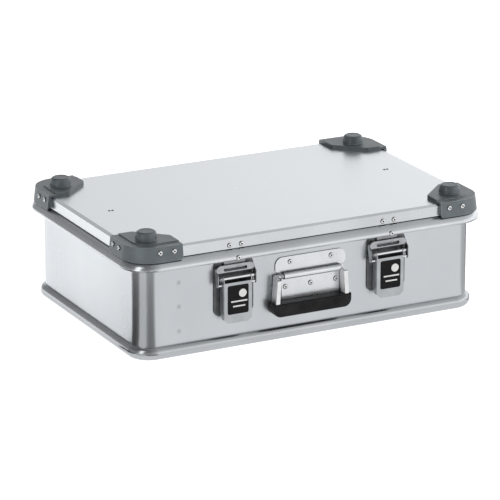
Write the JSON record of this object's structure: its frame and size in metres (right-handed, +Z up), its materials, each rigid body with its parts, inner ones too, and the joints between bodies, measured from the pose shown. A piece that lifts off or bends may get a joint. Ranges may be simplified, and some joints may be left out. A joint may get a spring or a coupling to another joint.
{
  "type": "transport case",
  "caption": "Shallow rectangular stacking case of riveted sheet aluminium with a hinged lid, stud corners, toggle latches and a drop handle.",
  "frame": {"origin": "on the ground under the middle of the case, at the bottom face of the foot profile", "axes": "+X along the length to the right of someone facing the latches, +Y away from them to the hinges, +Z up"},
  "size_m": [0.6, 0.4014, 0.19],
  "materials": {
    "sheet": "brushed",
    "profile": "satin",
    "seal": "matt",
    "casting": "satin, cast",
    "rivet": "polished",
    "zinc_plate": "satin",
    "pin": "polished",
    "spring": "bright",
    "inlay": "matt",
    "chromed": "polished",
    "grip": "matt"
  },
  "bodies": {
    "case": {"body_wall": "sheet", "base_pan": "sheet", "base_rim": "profile", "top_rim": "profile", "rim_rivets": "rivet", "latch_base_rivets": "rivet", "handle_mount": "zinc_plate", "handle_rivets": "rivet", "handle_spring": "spring", "latch_base_left": "zinc_plate", "latch_pivot_pin_left": "pin", "latch_spring_left": "spring", "hinge_leaf_lower_left": "zinc_plate", "hinge_pin_left": "pin", "latch_base_right": "zinc_plate", "latch_pivot_pin_right": "pin", "latch_spring_right": "spring", "hinge_leaf_lower_right": "zinc_plate", "hinge_pin_right": "pin"},
    "lid": {"lid_frame": "profile", "lid_panel": "sheet", "lid_gasket": "seal", "casting_rivets": "rivet", "catch_rivets": "rivet", "stay_rivets": "rivet", "stay_plate_left": "zinc_plate", "stay_plate_right": "zinc_plate", "corner_casting_back_left": "casting", "corner_casting_back_right": "casting", "corner_casting_front_left": "casting", "corner_casting_front_right": "casting", "lid_catch_left": "zinc_plate", "hinge_leaf_upper_left": "zinc_plate", "lid_catch_right": "zinc_plate", "hinge_leaf_upper_right": "zinc_plate"},
    "handle": {"handle_bail": "chromed", "handle_grip": "grip"},
    "lever_left": {"latch_lever_left": "zinc_plate", "latch_inlay_left": "inlay", "latch_link_pin_left": "pin"},
    "link_left": {"latch_link_left": "chromed"},
    "lever_right": {"latch_lever_right": "zinc_plate", "latch_inlay_right": "inlay", "latch_link_pin_right": "pin"},
    "link_right": {"latch_link_right": "chromed"}
  },
  "joints": [
    {"name": "lid_hinge", "type": "hinge", "parent": "case", "child": "lid", "pos_m": [0, 0.1958, 0.1594], "axis": [-1, 0, 0], "range_deg": [0, 100]},
    {"name": "handle_swing", "type": "hinge", "parent": "case", "child": "handle", "pos_m": [0, -0.1864, 0.0989], "axis": [-1, 0, 0], "range_deg": [0, 90], "stiffness_Nm_per_rad": 0.05, "springref_deg": -17.19},
    {"name": "latch_left_lever", "type": "hinge", "parent": "case", "child": "lever_left", "pos_m": [-0.12825, -0.193, 0.1116], "axis": [-1, 0, 0], "range_deg": [0, 110], "stiffness_Nm_per_rad": 0.02, "springref_deg": -17.19},
    {"name": "latch_left_link", "type": "hinge", "parent": "lever_left", "child": "link_left", "pos_m": [-0.12825, -0.192, 0.1016], "axis": [-1, 0, 0], "range_deg": [-137.5, 0]},
    {"name": "latch_right_lever", "type": "hinge", "parent": "case", "child": "lever_right", "pos_m": [0.12825, -0.193, 0.1116], "axis": [-1, 0, 0], "range_deg": [0, 110], "stiffness_Nm_per_rad": 0.02, "springref_deg": -17.19},
    {"name": "latch_right_link", "type": "hinge", "parent": "lever_right", "child": "link_right", "pos_m": [0.12825, -0.192, 0.1016], "axis": [-1, 0, 0], "range_deg": [-137.5, 0]}
  ],
  "couplings": [
    {"joint": "latch_left_link", "follows": "latch_left_lever", "ratio": -1.25},
    {"joint": "latch_right_link", "follows": "latch_right_lever", "ratio": -1.25}
  ]
}
